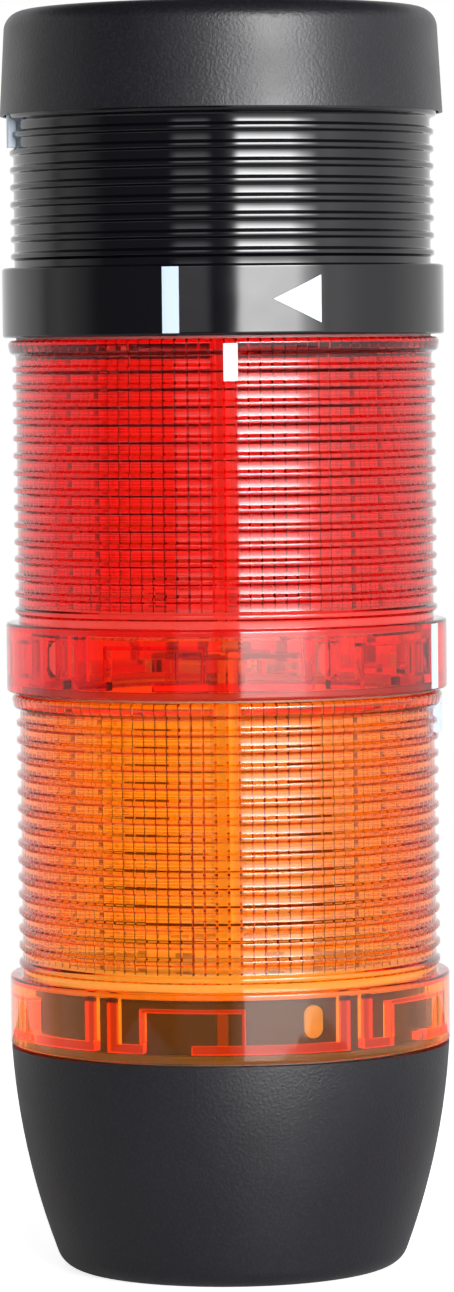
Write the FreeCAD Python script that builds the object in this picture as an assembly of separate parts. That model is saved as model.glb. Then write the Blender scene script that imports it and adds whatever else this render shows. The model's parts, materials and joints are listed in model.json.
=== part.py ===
"""Modular stack light of the 70 mm class: base, amber lens, red lens, sounder and cap.

Millimetres, +Z up. The origin is the centre of the base's bottom face.
Angles go about +Z from the front (-Y) towards the right (+X).

Every module is drawn in a frame of its own: height 0 is the lower edge of its band, and
angle 0 is the white line on that band. The modules join by one bayonet: the lugs on a
collar turn in under the ledges inside the skirt above.
"""

import FreeCAD, Part

import math
import os

# Bands and joint planes
band_radius = 35.0
band_height = 11.0
band_edge = 0.4
joint_gap = 0.4

# Ribbed walls
wall_inset = 2.0
wall_thickness = 2.3
rib_height = 0.55
rib_width = 1.5
rib_pitch = 2.73
first_rib = 1.8
last_rib = 5.0
lens_ribs = 15
sounder_ribs = 8

# Rounded shoulder under each joint
bead_inset = 0.8
bead_drop = 1.6
bead_height = 2.9
bead_shelf = 0.5

# Upright prisms on the inside of a lens
prism_count = 105
prism_depth = 0.15

# Bayonet: collar, lugs, skirt and ledges
lug_count = 5
lock_turn = 15.0
turn_gap = 0.3
slide_gap = 0.2
lug_reach = 1.6
collar_wall = 1.7
collar_height = 9.5
collar_edge = 0.4
neck_height = 1.0
skirt_wall = 1.8
ledge_low = 1.4
ledge_height = 1.3
lug_height = 4.6
lug_width = 9.6
gap_width = 13.4
short_ledge_width = 9.2
long_ledge_width = 42.1
bar_width = 1.6
pocket_wall = 0.5
detent_width = 1.6
detent_height = 0.2
root_depth = 0.5

# White marks
index_to_line = 66.6
mark_to_lug = -23.0
sounder_line_angle = -13.2
line_width = 2.6
arrow_height = 7.3
arrow_lead = 25.9
arrow_span = 12.7
mark_thickness = 0.2
mark_gap = 0.02
index_width = 2.2
index_height = 5.8
index_drop = 1.2
inlay_depth = 0.5
inlay_gap = 0.05

# Rubber rings at the collars' feet
seal_height = 1.5
seal_gap = 0.05

# Module floors and the contact path up the middle
floor_rise = 2.0
floor_thickness = 1.6
floor_step = 0.3
floor_gap = 0.2
rim_wall = 1.5
column_radius = 2.8
column_bore = 2.0
head_radius = 14.0
head_rise = 3.3
head_thickness = 2.0
arm_width = 5.0
arm_gap = 0.3
hook_angles = (-31.0, 26.0, 118.0, 242.0)
hook_width = 3.1
hook_height = 5.2
hook_gap = 0.2
hook_setback = 0.25
hook_root = 1.2
contact_count = 4
strip_thickness = 0.4
strip_width = 1.0
strip_offset = 1.2
track_inner = 7.0
track_outer = 12.0
pin_radius = 0.9
pin_offset = 9.5

# Light source
tower_flat = 13.0
tower_height = 3.2
tower_wall = 1.2
tower_sides = 6
tower_gap = 0.2
led_width = 3.0
led_height = 1.6
led_depth = 1.2
led_circle = 8.0
driver_length = 2.4
driver_width = 1.6
driver_height = 1.2
driver_offset = 7.0

# Sounder
case_gap = 2.4
case_wall = 2.0
case_height = 11.4
case_ledge = 2.0
case_ledge_height = 5.0
port_radius = 3.0
piezo_gap = 0.2
piezo_thickness = 0.6
coil_radius = 3.6
coil_height = 7.0
chip_size = 5.0
chip_height = 2.0
coil_gap = 2.6
sound_slot_width = 3.0

# Cap
cap_height = 16.5
cap_lap = 1.9
cap_stand = 0.05
cap_taper = 0.75
cap_rounding = 3.2
cap_roof = 2.2

# Base
base_height = 36.0
base_inset = 0.1
base_waist = 2.45
base_taper = 8.0
base_rounding = 4.0
base_wall = 2.2
base_floor = 3.0
deck_thickness = 3.0
deck_step = 1.3
deck_seat = 1.8
deck_gap = 0.2
base_bar_depth = 1.4
carrier_flange = 3.0
carrier_flange_thickness = 1.6
carrier_gap = 0.8
boss_inset = 3.4
screw_count = 3
boss_radius = 2.8
screw_radius = 1.2
screw_gap = 0.05
screw_clearance = 0.4
screw_length = 14.0
screw_tip_gap = 1.0
screw_head_radius = 2.7
screw_head_height = 1.8
mount_inset = 2.9
mount_count = 3
mount_hole_radius = 2.2
gasket_inset = 6.0
gasket_width = 2.0
gasket_height = 1.2
cable_radius = 4.0
grommet_wall = 2.9
grommet_flange = 2.0
grommet_flange_height = 1.5
grommet_gap = 0.05

# Terminal block
terminal_count = 5
terminal_pitch = 5.0
terminal_depth = 14.0
terminal_height = 14.0
terminal_end = 3.0
terminal_drop = 5.6
pocket_width = 3.6
pocket_depth = 5.0
pocket_height = 9.0
clamp_gap = 0.1
clamp_height = 5.0
clamp_wall = 0.6
clamp_screw_radius = 1.4
clamp_screw_gap = 0.1
clamp_screw_sink = 0.4

# How far a cutting tool runs past the face that it cuts
overrun = 1.0

# Sizes that follow
wall_radius = band_radius - wall_inset
bead_radius = band_radius - bead_inset
bead_shelf_radius = wall_radius + bead_shelf
skirt_bore = band_radius - skirt_wall
lug_radius = skirt_bore - turn_gap
collar_radius = lug_radius - lug_reach
ledge_bore = collar_radius + turn_gap
ledge_top = ledge_low + ledge_height
lug_low = ledge_top + turn_gap
lug_top = lug_low + lug_height
pocket_top = lug_top + slide_gap
skirt_ceiling = collar_height + turn_gap
collar_bore = collar_radius - collar_wall
wall_bore = wall_radius - wall_thickness
floor_radius = wall_bore + floor_step
seat_bore = floor_radius + floor_gap
floor_top = band_height + floor_rise
floor_low = floor_top - floor_thickness
head_low = head_rise
head_top = head_rise + head_thickness
track_top = head_top + strip_thickness
hook_middle = head_low + hook_height / 2
module_turn = lock_turn + index_to_line
index_angle = -index_to_line
lug_angle = index_angle + mark_to_lug
lap_radius = bead_radius + turn_gap
cap_radius = band_radius + cap_stand
cap_top_radius = cap_radius - cap_taper
base_top_radius = band_radius - base_inset
base_middle_radius = base_top_radius - base_waist
base_foot_radius = base_top_radius - base_taper
base_rim = base_height - joint_gap
deck_low = base_rim - deck_thickness
deck_radius = collar_radius + deck_step
screw_circle = base_foot_radius - boss_inset
gasket_inner = base_foot_radius - gasket_inset
mount_circle = gasket_inner - mount_inset
deck_opening = screw_circle - screw_head_radius - carrier_gap - carrier_flange
component_offset = wall_bore - coil_gap - coil_radius
case_radius = component_offset - coil_radius - case_gap
terminal_top = base_rim - terminal_drop
terminal_low = terminal_top - terminal_height
clamp_top = terminal_low + pocket_height
clamp_middle = clamp_top - clamp_height / 2

UP = FreeCAD.Vector(0, 0, 1)
ORIGIN = FreeCAD.Vector(0, 0, 0)


def module_height(rib_count):
    """From a module's band edge to the joint plane above it."""
    return band_height + first_rib + (rib_count - 1) * rib_pitch + last_rib


def degrees(length, radius):
    """The angle that a length takes up on a circle."""
    return math.degrees(length / radius)


def spun(shape, angle):
    """A copy turned about the stack's axis."""
    copy = shape.copy()
    copy.rotate(ORIGIN, UP, angle)
    return copy


def placed(shape, angle, height):
    """A copy turned about the stack's axis and raised."""
    copy = spun(shape, angle)
    copy.translate(FreeCAD.Vector(0, 0, height))
    return copy


def outline(start, moves):
    """An upright face at the front. A move is an end point, or a middle and an end point of an arc."""
    edges = []
    here = FreeCAD.Vector(0, -start[0], start[1])
    first = here
    for move in list(moves) + [start]:
        is_arc = isinstance(move[0], tuple)
        end = move[1] if is_arc else move
        there = FreeCAD.Vector(0, -end[0], end[1])
        if is_arc:
            middle = FreeCAD.Vector(0, -move[0][0], move[0][1])
            edges.append(Part.Arc(here, middle, there).toShape())
        elif here.distanceToPoint(there) > 1e-7:
            edges.append(Part.LineSegment(here, there).toShape())
        here = there if end is not start else first
    return Part.Face(Part.Wire(edges))


def turned(start, moves):
    """A solid of revolution, with its seam at the back."""
    return spun(outline(start, moves).revolve(ORIGIN, UP, 360), 180)


def ring(inner, outer, low, high):
    """A plain ring, or a disc where the inner radius is 0."""
    return turned((inner, low), [(outer, low), (outer, high), (inner, high)])


def sector(inner, outer, low, high, start, end):
    """The part of a ring between two angles."""
    face = outline((inner, low), [(outer, low), (outer, high), (inner, high)])
    return spun(face.revolve(ORIGIN, UP, end - start), start)


def block(width, near, far, low, high):
    """A box centred on the front direction, from the near to the far distance."""
    return Part.makeBox(width, far - near, high - low, FreeCAD.Vector(-width / 2, -far, low))


def rod(radius, offset, low, high):
    """An upright cylinder standing at the front."""
    return Part.makeCylinder(radius, high - low, FreeCAD.Vector(0, -offset, low))


def oval(width, height, middle, near, far):
    """An upright oval extruded outwards, with half-round ends."""
    radius = width / 2
    straight = height / 2 - radius
    top = FreeCAD.Vector(0, -near, middle + straight)
    bottom = FreeCAD.Vector(0, -near, middle - straight)
    side = FreeCAD.Vector(radius, 0, 0)
    rise = FreeCAD.Vector(0, 0, radius)
    edges = [
        Part.Arc(top - side, top + rise, top + side).toShape(),
        Part.LineSegment(top + side, bottom + side).toShape(),
        Part.Arc(bottom + side, bottom - rise, bottom - side).toShape(),
        Part.LineSegment(bottom - side, top - side).toShape(),
    ]
    return Part.Face(Part.Wire(edges)).extrude(FreeCAD.Vector(0, near - far, 0))


def around(shape, count, angle=0.0):
    """Equal copies about the stack's axis."""
    return [spun(shape, angle + 360.0 * i / count) for i in range(count)]


def joined(first, others):
    """One solid from shapes that overlap or touch."""
    return first.fuse(others).removeSplitter()


def skirt_ledges():
    """The ledges, bars and pockets inside a skirt that the lugs below turn into."""
    root = skirt_bore + root_depth
    bar = degrees(bar_width, skirt_bore) / 2
    thin = degrees(pocket_wall, skirt_bore)
    entry = -gap_width / 2
    leave = gap_width / 2
    short_start = entry - short_ledge_width
    long_end = leave + long_ledge_width
    stop = lock_turn + lug_width / 2 + turn_gap
    detent = degrees(detent_width, skirt_bore) / 2
    pocket_roof = pocket_top + pocket_wall
    pieces = [
        sector(ledge_bore, root, ledge_low, ledge_top, leave, long_end),
        sector(ledge_bore, root, ledge_low, skirt_ceiling, long_end - bar, long_end + bar),
        sector(ledge_bore, root, ledge_low, ledge_top, short_start, entry),
        sector(ledge_bore, root, ledge_low, skirt_ceiling, short_start - bar, short_start + bar),
        sector(ledge_bore, root, pocket_top, pocket_roof, entry - thin, stop + thin),
        sector(ledge_bore, root, ledge_low, pocket_roof, entry - thin, entry),
        sector(ledge_bore, root, ledge_low, pocket_roof, stop, stop + thin),
        sector(skirt_bore - detent_height, root, ledge_top, pocket_roof, lock_turn - detent, lock_turn + detent),
    ]
    return [copy for piece in pieces for copy in around(piece, lug_count, mark_to_lug)]


def collar_lugs(height):
    """The lugs on a collar. Each has a groove that the skirt's detent rests in."""
    lug = sector(collar_radius - root_depth, lug_radius, lug_low, lug_top, -lug_width / 2, lug_width / 2)
    half = degrees(detent_width / 2 + turn_gap, lug_radius)
    groove = sector(lug_radius - turn_gap, lug_radius + turn_gap, lug_low, lug_top, -half, half)
    lug = lug.cut(groove)
    return [placed(copy, 0, height) for copy in around(lug, lug_count, lug_angle)]


def hook_windows(height):
    """Openings in a collar for the hooks of the contact carrier."""
    width = hook_width + 2 * hook_gap
    tall = hook_height + 2 * hook_gap
    window = oval(width, tall, height + hook_middle, collar_bore - root_depth, collar_radius + root_depth)
    return [spun(window, lug_angle + angle) for angle in hook_angles]


def index_inlay(height, inner, outer, gap):
    """The white bar let into a shoulder, or its pocket where the gap is more than 0."""
    half = degrees(index_width / 2 + gap, outer)
    top = height - index_drop + gap
    low = height - index_drop - index_height - gap
    return sector(inner - gap, outer, low, top, index_angle - half, index_angle + half)


def ribbed_shell(rib_count):
    """One moulding: skirt band, ribbed wall, rounded shoulder and bayonet collar."""
    height = module_height(rib_count)
    collar_top = height + collar_height
    moves = [
        (band_radius - band_edge, 0),
        (band_radius, band_edge),
        (band_radius, band_height - band_edge),
        (band_radius - band_edge, band_height),
        (wall_radius, band_height),
    ]
    for i in range(rib_count):
        crest = band_height + first_rib + i * rib_pitch
        moves.append((wall_radius, crest - rib_width / 2))
        moves.append((wall_radius + rib_height, crest))
        moves.append((wall_radius, crest + rib_width / 2))
    moves += [
        (wall_radius, height - joint_gap - bead_height),
        ((bead_radius, height - bead_drop), (bead_shelf_radius, height - joint_gap)),
        (collar_radius, height - joint_gap),
        (collar_radius, collar_top - collar_edge),
        (collar_radius - collar_edge, collar_top),
        (collar_bore, collar_top),
        (collar_bore, height - neck_height),
        (wall_bore - prism_depth, height - 2 * neck_height),
        (wall_bore - prism_depth, floor_top),
        (seat_bore, floor_top),
        (seat_bore, skirt_ceiling),
        (skirt_bore, skirt_ceiling),
    ]
    shell = turned((skirt_bore, 0), moves)
    shell = joined(shell, skirt_ledges() + collar_lugs(height))
    pocket = index_inlay(height, wall_radius - inlay_depth, band_radius, inlay_gap)
    return shell.cut(hook_windows(height) + [pocket])


def prism_core(height):
    """The core that forms a lens's inside: a star with one point for each upright prism."""
    points = []
    for i in range(2 * prism_count):
        radius = wall_bore if i % 2 == 0 else wall_bore + prism_depth
        angle = math.pi * i / prism_count
        points.append(FreeCAD.Vector(radius * math.sin(angle), -radius * math.cos(angle), floor_top))
    star = Part.Face(Part.makePolygon(points + points[:1]))
    return star.extrude(FreeCAD.Vector(0, 0, height - 2 * neck_height - floor_top))


def lens():
    """The clear coloured moulding of a light module."""
    height = module_height(lens_ribs)
    return ribbed_shell(lens_ribs).cut(prism_core(height))


def sounder_housing():
    """The black moulding of the sounder, bored smooth, with sound slots in its collar."""
    height = module_height(sounder_ribs)
    bore = ring(0, wall_bore, floor_top, height - 2 * neck_height)
    middle = height + (lug_low + lug_top) / 2
    slot = oval(sound_slot_width, lug_height, middle, collar_bore - root_depth, collar_radius + root_depth)
    slots = around(slot, lug_count, lug_angle + 180.0 / lug_count)
    return ribbed_shell(sounder_ribs).cut([bore] + slots)


def seal_ring(height):
    """The rubber ring at the foot of a collar."""
    low = height - joint_gap
    return ring(collar_radius + seal_gap, lug_radius, low, low + seal_height)


def index_bar(height):
    """The white bar in a module's shoulder."""
    return index_inlay(height, wall_radius - inlay_depth, bead_radius, 0)


def band_line():
    """The white line across a band."""
    half = degrees(line_width / 2, band_radius)
    inner = band_radius + mark_gap
    return sector(inner, inner + mark_thickness, band_edge, band_height - band_edge, -half, half)


def band_arrow():
    """The white triangle on a band, pointing to the line."""
    tip = math.radians(arrow_lead)
    back = math.radians(arrow_lead + arrow_span)
    reach = 2 * band_radius
    middle = band_height / 2
    corners = [
        FreeCAD.Vector(reach * math.sin(tip), -reach * math.cos(tip), middle),
        FreeCAD.Vector(reach * math.sin(back), -reach * math.cos(back), middle - arrow_height),
        FreeCAD.Vector(reach * math.sin(back), -reach * math.cos(back), middle + arrow_height),
    ]
    wedge = cone_from_axis(corners, middle)
    inner = band_radius + mark_gap
    outer = inner + mark_thickness
    film = sector(inner, outer, band_edge, band_height - band_edge, arrow_lead, arrow_lead + arrow_span)
    return film.common(wedge)


def cone_from_axis(corners, height):
    """A pyramid from a point on the axis to a face."""
    apex = FreeCAD.Vector(0, 0, height)
    faces = [Part.Face(Part.makePolygon(corners + corners[:1]))]
    for i in range(len(corners)):
        side = [apex, corners[i], corners[(i + 1) % len(corners)], apex]
        faces.append(Part.Face(Part.makePolygon(side)))
    return Part.Solid(Part.Shell(faces))


def carrier_head(height):
    """The disc, arms and hooks that hold the upper contacts inside a collar."""
    low = height + head_low
    high = height + head_top
    reach = collar_bore - arm_gap
    pieces = []
    middle = height + hook_middle
    for angle in hook_angles:
        arm = block(arm_width, column_radius, reach, low, high)
        hook = oval(hook_width, hook_height, middle, reach - hook_root, collar_radius - hook_setback)
        pieces.append(spun(arm, lug_angle + angle))
        pieces.append(spun(hook, lug_angle + angle))
    return joined(ring(column_bore, head_radius, low, high), pieces)


def contact_carrier():
    """The white moulding inside a light module: rimmed floor, hollow column and upper head."""
    height = module_height(lens_ribs)
    floor = ring(column_bore, floor_radius, floor_low, floor_top)
    rim = ring(floor_radius - rim_wall, floor_radius, skirt_ceiling, floor_low)
    column = ring(column_bore, column_radius, floor_low, height + head_top)
    return joined(carrier_head(height), [floor, rim, column])


def track_span():
    """The angles that a contact track covers: its strip, and the pin above it locked and unlocked."""
    quarter = 360.0 / contact_count
    rest = (index_angle + quarter / 2) % quarter - quarter / 2 - lock_turn
    reach = degrees(pin_radius, track_inner)
    half = degrees(strip_width / 2, track_inner)
    return min(rest - reach, -half), max(rest + lock_turn + reach, half)


def contact_strips(low, height):
    """Flat strips up the hollow column, each bent over the head into a curved track."""
    start, end = track_span()
    top = height + track_top
    thin = strip_thickness
    upright = block(strip_width, strip_offset, strip_offset + thin, low, top)
    tab = block(strip_width, strip_offset, track_inner + thin, top - thin, top)
    track = sector(track_inner, track_outer, top - thin, top, start, end)
    strip = joined(upright, [tab, track])
    return strip


def contact_pins(high):
    """Sprung pins that press on the tracks of the module below."""
    pin = rod(pin_radius, pin_offset, track_top, high)
    return Part.Compound(around(pin, contact_count))


def module_strips():
    """The four strips of a light module, with feet under its floor for the pins."""
    height = module_height(lens_ribs)
    low = floor_low - strip_thickness
    foot = block(strip_width, strip_offset, pin_offset + pin_radius, low, floor_low)
    strip = joined(contact_strips(low, height), [foot])
    return Part.Compound(around(strip, contact_count))


def led_tower():
    """The low tower of circuit boards round the column: six side boards under one top board."""
    corner = 1 / math.cos(math.pi / tower_sides)
    top = floor_top + tower_height
    outer = hexagon(tower_flat * corner, floor_top, top)
    inner = hexagon((tower_flat - tower_wall) * corner, floor_top, top - tower_wall)
    return outer.cut([inner, ring(0, column_radius + tower_gap, floor_top, top)])


def hexagon(radius, low, high):
    """A regular prism with a flat side at the front."""
    points = []
    for i in range(tower_sides):
        angle = 2 * math.pi * (i + 0.5) / tower_sides
        points.append(FreeCAD.Vector(radius * math.sin(angle), -radius * math.cos(angle), low))
    return Part.Face(Part.makePolygon(points + points[:1])).extrude(FreeCAD.Vector(0, 0, high - low))


def leds():
    """One light-emitting diode on each side board, and one over each on the top board."""
    middle = floor_top + tower_height / 2
    top = floor_top + tower_height
    near = led_circle - led_width / 2
    low = middle - led_height / 2
    side_led = block(led_width, tower_flat, tower_flat + led_depth, low, low + led_height)
    top_led = block(led_width, near, near + led_width, top, top + led_depth)
    return Part.Compound(around(side_led, tower_sides) + around(top_led, tower_sides))


def driver_parts():
    """Resistors on the floor inside the tower."""
    half = driver_width / 2
    top = floor_top + driver_height
    part = block(driver_length, driver_offset - half, driver_offset + half, floor_top, top)
    return Part.Compound(around(part, tower_sides, 180.0 / tower_sides))


def sounder_board():
    """The round circuit board, on the same seat as a light module's floor."""
    return ring(0, floor_radius, floor_low, floor_top)


def resonator_case():
    """The round case that tunes the piezo disc, with a port in its roof."""
    bore = case_radius - case_wall
    top = floor_top + case_height
    ledge = floor_top + case_ledge_height
    moves = [
        (case_radius, floor_top),
        (case_radius, top),
        (port_radius, top),
        (port_radius, top - case_wall),
        (bore, top - case_wall),
        (bore, ledge),
        (bore - case_ledge, ledge),
        (bore - case_ledge, ledge - case_ledge),
        (bore, ledge - 2 * case_ledge),
        (bore, floor_top),
    ]
    return turned((bore, floor_top), moves)


def piezo_disc():
    """The brass disc that makes the sound, on the ledge in its case."""
    ledge = floor_top + case_ledge_height
    return ring(0, case_radius - case_wall - piezo_gap, ledge, ledge + piezo_thickness)


def sounder_components():
    """A coil and two chips on the board, beside the case."""
    coil = rod(coil_radius, component_offset, floor_top, floor_top + coil_height)
    near = component_offset - chip_size / 2
    chip = block(chip_size, near, near + chip_size, floor_top, floor_top + chip_height)
    return Part.Compound([spun(coil, 180), spun(chip, 90), spun(chip, -90)])


def cap_shell():
    """The plain cap. Its thin lip laps over the sounder's shoulder."""
    top = cap_height - cap_lap
    side = top - cap_rounding
    inner = cap_top_radius - cap_rounding
    bend = cap_rounding * math.sqrt(0.5)
    moves = [
        (cap_radius, -cap_lap),
        (cap_top_radius, side),
        ((inner + bend, side + bend), (inner, top)),
        (0, top),
        (0, top - cap_roof),
        (ledge_bore, top - cap_roof),
        (ledge_bore, skirt_ceiling),
        (skirt_bore, skirt_ceiling),
        (skirt_bore, turn_gap),
        (lap_radius, turn_gap),
    ]
    return joined(turned((lap_radius, -cap_lap), moves), skirt_ledges())


def base_cup():
    """The tapered foot: an open cup with bosses for the deck's screws."""
    recess = deck_radius + deck_gap
    moves = [
        (base_foot_radius, 0),
        ((base_middle_radius, base_height / 2), (base_top_radius, base_rim)),
        (recess, base_rim),
        (recess, deck_low),
        (recess - deck_seat, deck_low),
        ((base_middle_radius - base_wall, base_height / 2), (base_foot_radius - base_wall, base_floor)),
        (0, base_floor),
    ]
    cup = turned((0, 0), moves)
    foot_edges = [edge for edge in cup.Edges if is_foot_edge(edge)]
    cup = cup.makeFillet(base_rounding, foot_edges)
    boss = rod(boss_radius, screw_circle, base_floor / 2, deck_low)
    cup = joined(cup, around(boss, screw_count))
    screw_hole = rod(screw_radius + screw_gap, screw_circle, deck_low - screw_length, base_rim)
    mount_hole = rod(mount_hole_radius, mount_circle, -overrun, base_floor + overrun)
    cuts = around(screw_hole, screw_count) + around(mount_hole, mount_count, 180.0 / mount_count)
    cuts.append(ring(0, cable_radius + grommet_wall + grommet_gap, -overrun, base_floor + overrun))
    cuts.append(ring(gasket_inner, gasket_inner + gasket_width, -overrun, gasket_height))
    cuts.append(index_inlay(base_height, base_top_radius - base_bar_depth, base_top_radius + overrun, inlay_gap))
    return cup.cut(cuts)


def is_foot_edge(edge):
    """True for the sharp edge where the cup's side meets its bottom face."""
    box = edge.BoundBox
    return box.ZMax < 1e-6 and box.XLength > base_foot_radius


def base_collar():
    """The deck that closes the cup and carries the lowest bayonet collar."""
    top = base_height + collar_height
    moves = [
        (deck_radius, deck_low),
        (deck_radius, base_rim),
        (collar_radius, base_rim),
        (collar_radius, top - collar_edge),
        (collar_radius - collar_edge, top),
        (collar_bore, top),
        (collar_bore, base_rim),
        (deck_opening, base_rim),
    ]
    deck = turned((deck_opening, deck_low), moves)
    deck = joined(deck, collar_lugs(base_height))
    hole = rod(screw_radius + screw_clearance, screw_circle, deck_low - overrun, base_rim + overrun)
    return deck.cut(hook_windows(base_height) + around(hole, screw_count))


def deck_screws():
    """Pan-head screws through the deck into the cup's bosses."""
    shank = rod(screw_radius, screw_circle, deck_low - screw_length + screw_tip_gap, base_rim)
    head = rod(screw_head_radius, screw_circle, base_rim, base_rim + screw_head_height)
    return Part.Compound(around(joined(shank, [head]), screw_count))


def base_index_bar():
    """The white bar in the base's shoulder."""
    return index_inlay(base_height, base_top_radius - base_bar_depth, base_top_radius, 0)


def base_contact_carrier():
    """The white moulding in the base's collar, with a stub column down to the terminals."""
    flange = ring(column_bore, deck_opening + carrier_flange, base_rim, base_rim + carrier_flange_thickness)
    column = ring(column_bore, column_radius, terminal_top, base_height + head_top)
    return joined(carrier_head(base_height), [flange, column])


def base_strips():
    """The strips from the terminal block to the tracks under the amber module."""
    return Part.Compound(around(contact_strips(terminal_top, base_height), contact_count))


def base_gasket():
    """The flat ring let into the bottom face."""
    return ring(gasket_inner + seal_gap, gasket_inner + gasket_width - seal_gap, 0, gasket_height)


def cable_grommet():
    """The rubber bush in the cable entry, with a flange inside the cup."""
    outer = cable_radius + grommet_wall
    moves = [
        (outer, 0),
        (outer, base_floor),
        (outer + grommet_flange, base_floor),
        (outer + grommet_flange, base_floor + grommet_flange_height),
        (cable_radius, base_floor + grommet_flange_height),
    ]
    return turned((cable_radius, 0), moves)


def terminal_places():
    """The sideways places of the terminals."""
    return [(i - (terminal_count - 1) / 2) * terminal_pitch for i in range(terminal_count)]


def shifted(shape, x):
    """A copy moved sideways."""
    copy = shape.copy()
    copy.translate(FreeCAD.Vector(x, 0, 0))
    return copy


def terminal_block():
    """The wire terminals' insulating body, open below for the wires and in front for the screws."""
    half = terminal_depth / 2
    width = terminal_count * terminal_pitch + terminal_end
    body = block(width, -half, half, terminal_low, terminal_top)
    pocket = block(pocket_width, -pocket_depth / 2, pocket_depth / 2, terminal_low - overrun, clamp_top)
    bore = side_rod(clamp_screw_radius + clamp_screw_gap, 0, half + overrun, clamp_middle)
    cuts = [shifted(cutter, x) for cutter in (pocket, bore) for x in terminal_places()]
    return body.cut(cuts)


def side_rod(radius, near, far, height):
    """A level cylinder along the front direction."""
    return Part.makeCylinder(radius, far - near, FreeCAD.Vector(0, -near, height), FreeCAD.Vector(0, -1, 0))


def terminal_clamps():
    """Square cages that grip the wires."""
    width = pocket_width - 2 * clamp_gap
    half = pocket_depth / 2 - clamp_gap
    low = clamp_top - clamp_height
    cage = block(width, -half, half, low, clamp_top)
    inner = half - clamp_wall
    hole = block(width - 2 * clamp_wall, -inner, inner, low - overrun, clamp_top + overrun)
    cage = cage.cut(hole)
    return Part.Compound([shifted(cage, x) for x in terminal_places()])


def terminal_screws():
    """One clamping screw for each cage."""
    near = pocket_depth / 2 - clamp_gap
    screw = side_rod(clamp_screw_radius, near, terminal_depth / 2 - clamp_screw_sink, clamp_middle)
    return Part.Compound([shifted(screw, x) for x in terminal_places()])


def base_nodes(angle):
    """The base, with its virtual line at the given angle."""
    shapes = {
        "base_cup": base_cup(),
        "base_collar": base_collar(),
        "base_seal_ring": seal_ring(base_height),
        "base_index_bar": base_index_bar(),
        "base_contact_carrier": base_contact_carrier(),
        "base_contact_strips": base_strips(),
        "deck_screws": deck_screws(),
        "base_gasket": base_gasket(),
        "cable_grommet": cable_grommet(),
        "terminal_block": terminal_block(),
        "terminal_clamps": terminal_clamps(),
        "terminal_screws": terminal_screws(),
    }
    return {name: placed(shape, angle, 0) for name, shape in shapes.items()}


def light_nodes(colour, shapes, angle, height):
    """One light module at its place in the stack."""
    return {f"{colour}_{name}": placed(shape, angle, height) for name, shape in shapes.items()}


def light_shapes():
    """The pieces of a light module in its own frame."""
    height = module_height(lens_ribs)
    return {
        "lens": lens(),
        "seal_ring": seal_ring(height),
        "index_bar": index_bar(height),
        "band_line": band_line(),
        "band_arrow": band_arrow(),
        "contact_carrier": contact_carrier(),
        "contact_strips": module_strips(),
        "contact_pins": contact_pins(floor_low - strip_thickness),
        "led_tower": led_tower(),
        "leds": leds(),
        "driver_parts": driver_parts(),
    }


def sounder_nodes(angle, height):
    """The sounder module at its place in the stack."""
    top = module_height(sounder_ribs)
    shapes = {
        "sounder_housing": sounder_housing(),
        "sounder_seal_ring": seal_ring(top),
        "sounder_index_bar": index_bar(top),
        "sounder_band_line": band_line(),
        "sounder_band_arrow": band_arrow(),
        "sounder_board": sounder_board(),
        "sounder_contact_pins": contact_pins(floor_low),
        "resonator_case": resonator_case(),
        "piezo_disc": piezo_disc(),
        "sounder_components": sounder_components(),
    }
    return {name: placed(shape, angle, height) for name, shape in shapes.items()}


def stack_nodes():
    """Every piece of the stack at rest, with all bayonets locked."""
    amber_low = base_height
    red_low = amber_low + module_height(lens_ribs)
    sounder_low = red_low + module_height(lens_ribs)
    cap_low = sounder_low + module_height(sounder_ribs)
    red_angle = sounder_line_angle + module_turn
    amber_angle = red_angle + module_turn
    light = light_shapes()
    nodes = base_nodes(amber_angle + module_turn)
    nodes.update(light_nodes("amber", light, amber_angle, amber_low))
    nodes.update(light_nodes("red", light, red_angle, red_low))
    nodes.update(sounder_nodes(sounder_line_angle, sounder_low))
    nodes["cap_shell"] = placed(cap_shell(), sounder_line_angle - module_turn, cap_low)
    return nodes


def main():
    """Writes one STEP file for each node."""
    os.makedirs("parts", exist_ok=True)
    for name, shape in stack_nodes().items():
        shape.exportStep(f"parts/{name}.step")


main()
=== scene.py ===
"""Dresses a modular stack light: clear ribbed lenses, gloss sounder, matt cap and base, printed marks.

The functions work in millimetres and degrees. Angles go about +Z from the front (-Y) to the right (+X).
"""

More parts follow.
